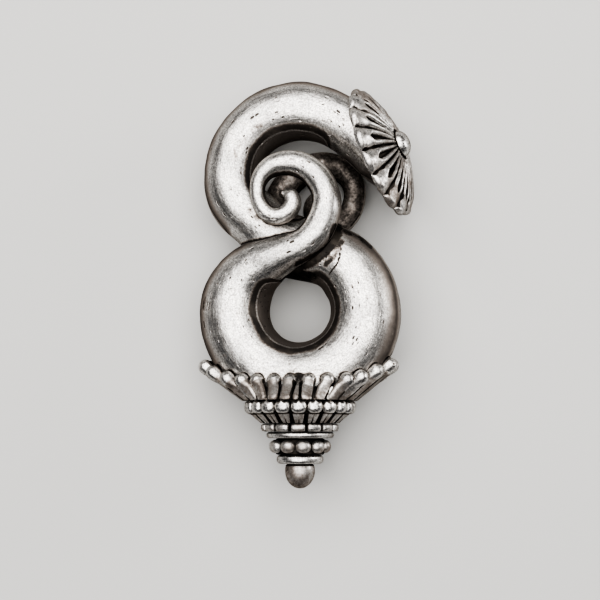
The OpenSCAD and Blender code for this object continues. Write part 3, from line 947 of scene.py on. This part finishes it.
def petal_cup():
    """The cup of petals, hollowed to the ring's bar, with painted shade in its gaps and along its petals'
    sides, and darker shafts.

    Each point is measured from the middle line of the petal that is nearest: share is how far up it
    is, across how far to the side and outward how far towards the front.
    """
    piece, between = cup_petals()
    combine(piece, [between, cup_wall()], "UNION")
    combine(piece, [ring_seat(), cup_floor_cut()], "DIFFERENCE")
    points = vertices(piece)
    foot, head, along, out, side = petal_axes()
    span = np.linalg.norm(head - foot, axis=-1)
    reach = np.clip(((points[:, None] - foot) * along).sum(-1) / span, 0, 1)
    away = points[:, None] - foot - along * (reach * span)[..., None]
    nearest = np.linalg.norm(away, axis=-1).argmin(1)
    each = np.arange(len(points))
    share = reach[each, nearest]
    across = np.abs((away[each, nearest] * side[nearest]).sum(-1))
    outward = (away[each, nearest] * out[nearest]).sum(-1)
    on_shaft = smooth_step(0.98, 0.8, share)
    ladder = np.linspace(0, 1, 41)
    widths = petal_width(ladder)[nearest, np.round(share * 40).astype(int)]
    # edge and sunk: painted shade along the petals' sides and on what lies back between them; shaft: the
    # shafts darker than the heads
    edge = smooth_step(0.93, 1.0, across / widths) * on_shaft
    sunk = smooth_step(0.08, -0.32, outward + 0.35 * (1 - on_shaft))
    shaft = 0.54 * smooth_step(0.99, 0.84, share) * smooth_step(0.94, 0.84, across / widths)
    give(piece, "shade_and_tarnish", np.clip(np.maximum(np.maximum(edge, sunk), shaft), 0, 1))
    return piece


def fluted_tier():
    """Blocky beads over a cone cut into ribs, each rib split by a shallow groove.

    A gap or groove is a bell over the distance from its middle.
    """
    top = CUP_FOOT - GAP
    loop = [(BORE_R, TIER_FOOT), (FLUTE_FOOT_R - 0.1, TIER_FOOT), (FLUTE_FOOT_R, TIER_FOOT + 0.08),
            (FLUTE_TOP_R, FLUTE_TOP), (TIER_CORE_R, FLUTE_TOP + TIER_SLOPE), (TIER_CORE_R, top),
            (BORE_R, top), (BORE_R, TIER_FOOT)]

    def ribs(turn, radius, level):
        """The cut of gaps and grooves into the cone's wall, as a change of its radius."""
        phase = (turn + math.pi / 2) * TIER_BEADS / (2 * math.pi)
        spacing = 2 * math.pi * radius / TIER_BEADS
        from_gap = np.abs(phase - np.round(phase)) * spacing
        from_middle = spacing / 2 - from_gap
        on_wall = smooth_step(FLUTE_TOP + 0.25, FLUTE_TOP - 0.1, level) * smooth_step(4.6, 5.2, radius)
        return -on_wall * (bell(from_gap, *FLUTE_GAP) + bell(from_middle, *FLUTE_SPLIT))

    piece = turned("fluted_tier_skin", fine(loop, FLUTE_STEP)[:-1], FLUTE_POINTS, ribs)

    def teeth(way):
        """Small teeth on a bead's upper half: a cosine across it."""
        return TOOTH_HEIGHT * np.cos(way[:, 1] * TOOTH_CLOSENESS) * smooth_step(0.35, 0.75, way[:, 2])

    level = top - TIER_BEAD
    places = round_places(TIER_BEADS, TIER_R, level, math.pi / TIER_BEADS)
    beads = balls("tier_beads", places, TIER_BEAD_SIZE, TIER_BEAD_POWER, teeth)
    combine(piece, [beads], "UNION")
    combine(piece, [ring_seat()], "DIFFERENCE")
    points = vertices(piece)
    radius = np.hypot(points[:, 0], points[:, 1])
    proud = radius - np.interp(points[:, 2], [TIER_FOOT, FLUTE_TOP, FLUTE_TOP + 0.3, top],
                               [FLUTE_FOOT_R, FLUTE_TOP_R, TIER_R + 0.12, TIER_R + 0.12])
    # Painted shade on what lies back from the beads and ribs and just under the beads; the fluted face
    # darker overall
    under_bead = bell(points[:, 2] - FLUTE_TOP, 0.22, 0.7)
    rib_face = 0.52 * smooth_step(FLUTE_TOP + 0.1, FLUTE_TOP - 0.2, points[:, 2])
    give(piece, "shade_and_tarnish", np.maximum(np.maximum(smooth_step(-0.02, -0.22, proud), under_bead), rib_face))
    return piece


def block_band():
    """Rounded blocks round a band: the radius drops between one block and the next.

    A block is crowned a little across, as the fourth power of the distance from its middle.
    """
    top = TIER_FOOT - GAP
    half = BLOCK_SHARE * math.pi / BLOCKS * BLOCK_R

    def drop(turn, radius, level):
        """The drop between the blocks and a little across each one, as a change of the radius."""
        phase = (turn - BLOCK_TURN + math.pi / 2) * BLOCKS / (2 * math.pi)
        across = np.abs(phase - np.round(phase)) * 2 * math.pi * BLOCK_R / BLOCKS
        gap = smooth_step(half - 0.04, half + 0.2, across)
        crown = BLOCK_CROWN * (across / half) ** 4
        outer = smooth_step(BLOCK_R - 1.2, BLOCK_R - 0.35, radius)
        return -outer * (BLOCK_BACK * gap + crown * (1 - gap))

    outline = soft_box(BORE_R, BLOCK_FOOT, BLOCK_R, top, BLOCK_PILLOW)
    piece = turned("block_band_skin", outline, BLOCK_POINTS, drop)
    points = vertices(piece)
    radius = np.hypot(points[:, 0], points[:, 1])
    edge = np.minimum(points[:, 2] - BLOCK_FOOT, top - points[:, 2])
    # Painted shade in the gaps between the blocks and along the band's top and bottom edges, over an even
    # tarnish
    marks = np.maximum(smooth_step(BLOCK_R - 0.2, BLOCK_R - 0.5, radius), 0.7 * smooth_step(0.1, 0.0, edge))
    give(piece, "shade_and_tarnish", np.maximum(marks, 0.48))
    return piece


def collar(name, foot, top, radius, corner):
    """A plain rounded collar round the pin."""
    piece = turned(name, soft_box(BORE_R, foot, radius, top, corner), COLLAR_POINTS)
    points = vertices(piece)
    reach = np.hypot(points[:, 0], points[:, 1])
    # Painted shade on the flat faces inside the rounded corner, where the collar meets its neighbours
    give(piece, "shade_and_tarnish", smooth_step(radius - 0.12, radius - 0.55, reach))
    return piece


def bead_band():
    """Round beads on a recessed core."""
    top = UPPER_COLLAR_FOOT - GAP
    core = BAND_R - BAND_BEHIND * BAND_BEAD
    piece = turned("bead_band_skin", soft_box(BORE_R, BAND_FOOT, core, top, BAND_ROUND), COLLAR_POINTS)
    places = round_places(BAND_BEADS, BAND_R - BAND_BEAD, (top + BAND_FOOT) / 2, math.pi / BAND_BEADS)
    combine(piece, [balls("band_beads", places, BAND_BEAD_SIZE, BAND_BEAD_POWER)], "UNION")
    points = vertices(piece)
    # Painted shade on the core behind the beads, over an even tarnish
    inside = smooth_step(core + 0.3, core + 0.05, np.hypot(points[:, 0], points[:, 1]))
    give(piece, "shade_and_tarnish", np.maximum(inside, 0.5))
    return piece


def ball_tip():
    """A ball that comes to a slight point, like an acorn, and the pin above it."""
    pin_top = -(RING_REACH + RING_BAR + SEAT_GAP)
    top = LOWER_COLLAR_FOOT - GAP
    turn = np.radians(np.linspace(88, -20, 40))
    drop = TIP_WIDE - TIP_FOOT
    reach = TIP_R * np.where(turn > 0, np.cos(turn) ** TIP_SHARPNESS, np.cos(turn))
    ball = list(zip(reach, TIP_WIDE - drop * np.sin(turn)))
    profile = [(0, TIP_FOOT), *ball, (TIP_NECK_R, top), (PIN_R, top), (PIN_R, pin_top), (0, pin_top)]
    piece = turned("ball_tip_skin", profile, TIP_POINTS)
    points = vertices(piece)
    # Painted shade just under the collar, over an even tarnish
    under_collar = 0.9 * smooth_step(top - 0.42, top - 0.08, points[:, 2])
    give(piece, "shade_and_tarnish", np.maximum(under_collar, 0.56))
    return piece


def on_flower(points):
    """Points across, up and out of the flower's flat back, put in their upright place."""
    across, up, out = flower_directions()
    return FLOWER_AT + points @ np.stack([across, up, out])


def flower_relief(turn, share, radius):
    """Height of the petals' carving on the flower's face.

    Two round cords, each a half circle across, run out along each petal and leave a drop-shaped slot
    between them; the petal's end is a plain spoon, crowned across, and notches part the petals.
    """
    phase = turn * PETALS / (2 * math.pi)
    offset = phase - np.round(phase)
    spacing = 2 * math.pi * radius / PETALS
    across = np.abs(offset) * spacing
    edge = (0.5 - np.abs(offset)) * spacing
    slot_end = smooth_step(0.82, 0.75, share)
    slot_half = (0.03 + 0.25 * smooth_step(0.3, 0.75, share)) * np.sqrt(slot_end)
    groove_half = 0.05 + 0.1 * share
    inside = across - slot_half
    width = np.maximum(spacing / 2 - slot_half - groove_half, 0.05)
    t = np.clip(inside / width, 0, 1)
    cord = np.sqrt(np.clip(1 - (2 * t - 1) ** 2, 0, 1))
    tall = np.minimum(0.68, 1.5 * width) * smooth_step(0.198, 0.26, share)
    corded = -0.38 * smooth_step(0.19, 0.3, share) + tall * cord - 0.15 * smooth_step(0.0, -0.12, inside)
    crown = np.sqrt(np.clip(1 - (across / np.maximum(spacing / 2 - 0.06, 0.05)) ** 2, 0, 1))
    spoon = -0.42 + 0.62 * crown - 0.2 * smooth_step(0.9, 1.0, share)
    ends = smooth_step(0.77, 0.86, share)
    notch = -0.25 * smooth_step(0.3, 0.0, edge) * smooth_step(0.86, 0.97, share)
    return corded * (1 - ends) + spoon * ends + notch


def flower_cap():
    """The flower: a dome of carved petals with a scalloped edge, a flat back and a bore.

    Height = edge + rise x (1 - u^p) + carving, with u running from the heart to the edge. Painted shade
    lies in the low places of the carving, close round the stud and more towards the two sides, and a
    thin tarnish on the rest.
    """
    columns = PETALS * PETAL_POINTS
    turn = 2 * math.pi * np.arange(columns) / columns
    bore = POST_R + GAP
    heart = STUD_R / FLOWER_R
    edge_r = FLOWER_R * (1 - FLOWER_SCALLOP * (1 - np.abs(np.cos(turn * PETALS / 2))))
    inner = np.linspace(bore / FLOWER_R, heart, HEART_ROWS)
    rows = np.concatenate([inner, np.linspace(heart, FLOWER_LIP, FACE_ROWS)[1:]])[:, None]
    u = np.clip((rows - heart) / (1 - heart), 0, 1)
    dome = FLOWER_EDGE + FLOWER_RISE * (1 - u ** FLOWER_DOME)
    carving = flower_relief(turn[None], rows, rows * edge_r)
    face = np.stack(np.broadcast_arrays(rows * edge_r, dome + carving), -1)
    last = face[-1, :, 1]
    bend = np.radians(np.linspace(75, 0, LIP_ROWS))[:, None]
    corner = np.stack([edge_r * (FLOWER_LIP + (1 - FLOWER_LIP) * np.cos(bend)),
                       last * (1 + np.sin(bend)) / 2], -1)
    zero = np.zeros(columns)
    under = [(edge_r - 0.01, last * 0.36), (edge_r - 0.06, last * 0.2), (edge_r - 0.2, zero)]
    back = [(bore + (edge_r - bore) * part, zero) for part in (0.66, 0.33, 0)]
    hole = [(zero + bore, face[0, :, 1] * part) for part in (0.33, 0.66)]
    loop = np.concatenate([face, corner, *(np.stack(row, -1)[None] for row in under + back + hole)])
    points = np.stack([loop[..., 0] * np.cos(turn), loop[..., 0] * np.sin(turn), loop[..., 1]], -1)
    flat = points.reshape(-1, 3)
    top = flat[:, 2] > FLOWER_EDGE * 0.7
    flat = flat + np.column_stack([np.zeros((len(flat), 2)), waver(flat, *FLOWER_DENTS) * top])
    side_on = smooth_step(0.4, 0.9, np.abs(np.sin(turn)))
    edge_on = smooth_step(0.8, 1.0, np.abs(np.sin(turn)))
    # Painted shade in the carving's low places, more towards the flower's two sides and less at its lip
    high = carving - 0.15 * side_on - 0.08 * edge_on + 0.25 * smooth_step(0.8, 0.9, rows)
    rim = np.concatenate([high.ravel(), np.full(flat.shape[0] - high.size, 0.04)])
    # close: painted shade round the stud; plain: an even thin tarnish, a little more towards the sides
    close = fading(np.hypot(flat[:, 0], flat[:, 1]) - STUD_R, 0.1)
    plain = np.resize(0.45 + 0.06 * side_on, len(flat))
    shade_and_tarnish = np.maximum.reduce([smooth_step(0.12, -0.18, rim), close, plain])
    return make_piece("flower_cap_skin", on_flower(flat), [grid_faces(len(loop), columns, rows_close=True)],
                      {"shade_and_tarnish": shade_and_tarnish})


def flower_stud():
    """The flower's heart: a dome on a post that goes through the cap."""
    foot = FLOWER_EDGE + FLOWER_RISE + GAP
    turn = np.radians(np.linspace(0, 88, STUD_ROWS))
    dome = zip(STUD_R * np.cos(turn), foot + STUD_EDGE + (STUD_RISE - STUD_EDGE) * np.sin(turn))
    profile = [(0, 0), (POST_R, 0), (POST_R, foot), (STUD_R - 0.06, foot), (STUD_R, foot + 0.07), *dome,
               (0, foot + STUD_RISE)]
    piece = turned("flower_stud_skin", profile, STUD_POINTS, place=on_flower)
    # Painted shade low on the stud, where it sits on the cap
    high = (vertices(piece) - FLOWER_AT) @ flower_directions()[2] - foot
    give(piece, "shade_and_tarnish", smooth_step(0.45, 0.1, high))
    return piece


# Colours of the silver, and how its streaks and pits are scaled along the bar and across it
BRIGHT_SILVER = (0.93, 0.905, 0.868, 1)
DULL_SILVER = (0.5, 0.495, 0.49, 1)
DARK_GRAIN = (0.16, 0.15, 0.145, 1)
# Warm silver, brown and black: the colours of tarnish and of painted shade
WARM_SILVER = (0.25, 0.22, 0.2, 1)
BROWN_TARNISH_AND_SHADE = (0.045, 0.039, 0.034, 1)
BLACK_TARNISH_AND_SHADE = (0.010, 0.009, 0.009, 1)
SPECULAR_TINT = (0.22, 0.2, 0.18, 1)
ALONG_BAR = (0.25, 4.0, 4.0)
PITS_ALONG_BAR = (0.9, 1.9, 1.9)

# Floor: half its side in metres, and its colour. Camera: width of its sensor in millimetres.
FLOOR_HALF = 1.5
FLOOR_COLOUR = (0.46, 0.46, 0.455, 1)
SENSOR = 36.0


class Finish:
    """Shader nodes of one finish of silver, made and joined one by one."""

    def __init__(self, name):
        self.material = bpy.data.materials.new(name)
        self.material.use_nodes = True
        self.tree = self.material.node_tree
        self.shader = self.tree.nodes["Principled BSDF"]

    def add(self, kind, settings=None, **inputs):
        """A node, with its inputs set or joined by name, or by number as in i0; returns its output."""
        node = self.tree.nodes.new(kind)
        for key, value in (settings or {}).items():
            setattr(node, key, value)
        for key, value in inputs.items():
            socket = node.inputs[int(key[1:])] if key[1:].isdigit() else node.inputs[key.replace("_", " ")]
            if isinstance(value, bpy.types.NodeSocket):
                self.tree.links.new(value, socket)
            else:
                socket.default_value = value
        return node.outputs[0]

    def times(self, a, b):
        """One value multiplied by another."""
        return self.add("ShaderNodeMath", {"operation": "MULTIPLY"}, i0=a, i1=b)

    def plus(self, a, b):
        """The sum of two values."""
        return self.add("ShaderNodeMath", {"operation": "ADD"}, i0=a, i1=b)

    def minus(self, a, b):
        """One value less another."""
        return self.add("ShaderNodeMath", {"operation": "SUBTRACT"}, i0=a, i1=b)

    def larger(self, first, *others):
        """The largest of the values."""
        for other in others:
            first = self.add("ShaderNodeMath", {"operation": "MAXIMUM"}, i0=first, i1=other)
        return first

    def step(self, value, low, high, start=0.0, end=1.0):
        """A smooth step between two values of its input."""
        return self.add("ShaderNodeMapRange", {"interpolation_type": "SMOOTHSTEP"}, Value=value,
                        From_Min=low, From_Max=high, To_Min=start, To_Max=end)

    def noise(self, where, scale, detail=3.0, rough=0.55):
        """Noise between 0 and 1."""
        return self.add("ShaderNodeTexNoise", Vector=where, Scale=scale, Detail=detail, Roughness=rough)

    def mark(self, name):
        """One of the piece's own marks, as a number."""
        return self.add("ShaderNodeAttribute", {"attribute_name": name}).node.outputs["Fac"]

    def flow(self, scale):
        """The place along the bar and across it, scaled each way."""
        flow = self.add("ShaderNodeAttribute", {"attribute_name": "flow"}).node.outputs["Vector"]
        return self.add("ShaderNodeMapping", Vector=flow, Scale=scale)

    def mix(self, factor, a, b):
        """One colour at a factor of 0 and the other at 1."""
        return self.add("ShaderNodeMix", {"data_type": "RGBA"}, i0=factor, i6=a, i7=b).node.outputs[2]


def bar_shade_and_tarnish(f, uneven):
    """Darkening that only the bar has: painted shade on its inner and outer sides, stains, a crack and
    painted shadows, and long scratches.

    Both sides are darkest where the surface turns away, with a painted highlight line on the inner
    one and a painted paler rim on the outer one.
    """
    inward = f.mark("inward")
    ragged = f.plus(inward, f.times(uneven, 0.28))
    smoother = f.plus(inward, f.times(uneven, 0.07))
    # Painted shade on the inner side, broken by a painted highlight line along it
    wall = f.step(ragged, 0.72, 0.84, 1.0, 0.78)
    painted_inner_highlight = f.times(f.step(smoother, 0.745, 0.765), f.step(smoother, 0.80, 0.78))
    inner = f.times(f.times(f.step(ragged, 0.52, 0.64, 0.0, 0.85), wall),
                    f.minus(1.0, f.times(painted_inner_highlight, 0.6)))
    # Painted shade on the outer side, with a painted paler rim at its edge
    painted_rim_highlight = f.times(f.step(smoother, -0.9, -0.96), 0.6)
    outer = f.times(f.step(ragged, -0.42, -1.02, 0.0, 0.86), f.minus(1.0, painted_rim_highlight))
    # Stains, a crack and painted shadows, from the table of them
    shadow_and_stain = f.step(f.plus(f.mark("painted_shadow_and_stain"), f.times(uneven, 1.5)), 0.38, 0.75, 0.0, 0.9)
    scratch = f.step(f.noise(f.flow(ALONG_BAR), 3.0, 3.0, 0.65), 0.57, 0.68, 0.0, 0.62)
    return f.larger(inner, outer, shadow_and_stain, scratch)


def antique_silver(name, on_bar, least_rough, dents):
    """Worn silver: bright metal with grain, soft dents, fine scratches and pits, and brown-black
    tarnish and painted shade that gather where the marks say, broken up by noise. On the bar the polish
    and the pits are drawn out along it, and there are more pits.
    """
    f = Finish(name)
    place = f.tree.nodes.new("ShaderNodeTexCoord").outputs["Object"]
    cloud = f.noise(place, 420.0, 4.0)
    speck = f.noise(place, 2600.0, 5.0, 0.65)
    uneven = f.plus(f.times(f.minus(cloud, 0.5), 0.5), f.times(f.minus(speck, 0.5), 0.35))
    # Tarnish and painted shade from the piece's marks, broken up by noise
    dirt_and_shade = f.step(f.plus(f.mark("shade_and_tarnish"), uneven), 0.3, 0.85)
    if on_bar:
        dirt_and_shade = f.larger(dirt_and_shade, bar_shade_and_tarnish(f, uneven))
        streak = f.noise(f.flow(ALONG_BAR), 1.6, 4.0, 0.6)
        pits = f.add("ShaderNodeTexVoronoi", Vector=f.flow(PITS_ALONG_BAR), Scale=1.0)
        where_pitted = f.step(f.noise(place, 330.0), 0.44, 0.58)
    else:
        streak = f.noise(place, 5200.0, 3.0)
        pits = f.add("ShaderNodeTexVoronoi", Vector=place, Scale=1500.0)
        where_pitted = f.step(f.noise(place, 330.0), 0.58, 0.7)
    pit_depth = f.minus(f.times(pits.node.outputs["Color"], 0.42), pits)
    pitted = f.times(f.step(pit_depth, 0.0, 0.1), where_pitted)
    dirt_and_shade = f.larger(dirt_and_shade, f.times(pitted, 0.8))
    worn = f.plus(f.times(f.step(streak, 0.4, 0.58), 0.55),
                  f.times(f.step(f.noise(place, 210.0, 5.0, 0.7), 0.4, 0.6), 0.45))
    grain = f.step(f.noise(place, 4400.0, 6.0, 0.8), 0.36, 0.6, 0.12, 1.0)
    bright = f.mix(f.minus(1.0, grain), f.mix(worn, DULL_SILVER, BRIGHT_SILVER), DARK_GRAIN)
    # Where the tarnish and painted shade are, the colour goes to warm silver and then to brown-black
    warm = f.mix(f.step(dirt_and_shade, 0.05, 0.62), bright, WARM_SILVER)
    brown = f.mix(f.step(cloud, 0.45, 0.68), BLACK_TARNISH_AND_SHADE, BROWN_TARNISH_AND_SHADE)
    colour = f.mix(f.step(dirt_and_shade, 0.42, 0.97), warm, brown)
    rough = f.plus(f.times(dirt_and_shade, 0.26), f.step(streak, 0.3, 0.75, least_rough, least_rough + 0.12))
    height = f.plus(f.times(f.noise(place, 650.0, 2.0), 0.8), f.times(speck, 0.16))
    height = f.minus(f.plus(height, f.times(streak, 0.12)), f.times(pitted, 0.9))
    bump = f.add("ShaderNodeBump", Height=height, Strength=dents, Distance=0.00011)
    f.shader.inputs["Specular Tint"].default_value = SPECULAR_TINT
    f.tree.links.new(colour, f.shader.inputs["Base Color"])
    f.tree.links.new(rough, f.shader.inputs["Roughness"])
    f.tree.links.new(f.minus(1.0, f.times(dirt_and_shade, 0.2)), f.shader.inputs["Metallic"])
    f.tree.links.new(bump, f.shader.inputs["Normal"])
    return f.material


def lay_floor():
    """A plain pale floor under the weight, one flat square."""
    corners = FLOOR_HALF * np.array([[-1, -1, 0], [1, -1, 0], [1, 1, 0], [-1, 1, 0]])
    mesh = bpy.data.meshes.new("floor")
    mesh.from_pydata(corners.tolist(), [], [(0, 1, 2, 3)])
    floor = bpy.data.objects.new("floor", mesh)
    bpy.context.scene.collection.objects.link(floor)
    f = Finish("pale_floor")
    f.shader.inputs["Base Color"].default_value = FLOOR_COLOUR
    f.shader.inputs["Roughness"].default_value = 0.7
    mesh.materials.append(f.material)


def row_direction(upright_way):
    """An upright direction, turned as the weight is laid down."""
    return LAY @ upright_way


def set_camera():
    """The photograph's camera, moved with the weight as it is laid on its back."""
    ahead = row_direction(VIEW_AHEAD)
    up = row_direction(np.array([0, 0, 1.0]))
    right = np.cross(ahead, up)
    stand = -VIEW_AHEAD * VIEW_PX * PIXEL + np.array([0, 0, -(HORIZON_PX - RING_PX[1]) * PIXEL])
    data = bpy.data.cameras.new("camera")
    data.sensor_width = SENSOR
    data.lens = SENSOR * VIEW_PX / FRAME_PX
    data.shift_y = (HORIZON_PX - FRAME_PX / 2) / FRAME_PX
    data.clip_start = 0.005
    camera = bpy.data.objects.new("camera", data)
    matrix = np.eye(4)
    matrix[:3, :3] = np.stack([right, up, -ahead], -1)
    matrix[:3, 3] = laid(stand)
    camera.matrix_world = Matrix(matrix.tolist())
    bpy.context.scene.collection.objects.link(camera)
    bpy.context.scene.camera = camera


def area_light(name, stand, aim, size, power, colour):
    """A soft square light that faces the place it is aimed at; positions are in metres."""
    data = bpy.data.lights.new(name, "AREA")
    data.shape = "SQUARE"
    data.size = size
    data.energy = power
    data.color = colour
    light = bpy.data.objects.new(name, data)
    light.location = stand
    light.rotation_euler = (Vector(aim) - Vector(stand)).to_track_quat("-Z", "Y").to_euler()
    bpy.context.scene.collection.objects.link(light)


def light_studio():
    """One wide soft light over the weight, a low panel that the flower faces, and a dim grey room."""
    area_light("soft_box", stand=(-0.03, 0.1, 0.36), aim=(0, 0, 0),
               size=0.6, power=4.7, colour=(1.0, 0.98, 0.95))
    area_light("right_panel", stand=(0.34, 0.1, 0.075), aim=(0.01, 0.018, 0.01),
               size=0.15, power=0.5, colour=(1.0, 0.985, 0.96))
    world = bpy.data.worlds.new("room")
    world.use_nodes = True
    world.node_tree.nodes["Background"].inputs["Color"].default_value = (0.2, 0.2, 0.21, 1)
    world.node_tree.nodes["Background"].inputs["Strength"].default_value = 0.3
    bpy.context.scene.world = world
    bpy.context.scene.view_settings.look = "AgX - High Contrast"


set_camera()
light_studio()
lay_floor()

bar_silver = antique_silver("polished_bar_silver", on_bar=True, least_rough=0.29, dents=0.7)
stud_silver = antique_silver("polished_stud_silver", on_bar=False, least_rough=0.24, dents=0.5)
flower_silver = antique_silver("chased_flower_silver", on_bar=False, least_rough=0.25, dents=0.5)
base_silver = antique_silver("chased_base_silver", on_bar=False, least_rough=0.28, dents=0.3)

pieces = [
    (coil(), "coil", "polished_silver", bar_silver),
    (flower_cap(), "flower_cap", "chased_silver", flower_silver),
    (flower_stud(), "flower_stud", "polished_silver", stud_silver),
    (petal_cup(), "petal_cup", "chased_silver", base_silver),
    (fluted_tier(), "fluted_tier", "chased_silver", base_silver),
    (block_band(), "block_band", "chased_silver", base_silver),
    (collar("upper_collar_skin", UPPER_COLLAR_FOOT, BLOCK_FOOT - GAP, UPPER_COLLAR_R, UPPER_COLLAR_ROUND),
     "upper_collar", "chased_silver", base_silver),
    (bead_band(), "bead_band", "chased_silver", base_silver),
    (collar("lower_collar_skin", LOWER_COLLAR_FOOT, BAND_FOOT - GAP, LOWER_COLLAR_R, LOWER_COLLAR_ROUND),
     "lower_collar", "chased_silver", base_silver),
    (ball_tip(), "ball_tip", "chased_silver", base_silver),
]
for piece, node, slot, silver in pieces:
    piece.data.materials.clear()
    piece.data.materials.append(silver)
    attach(piece, "root")
    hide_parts(node)
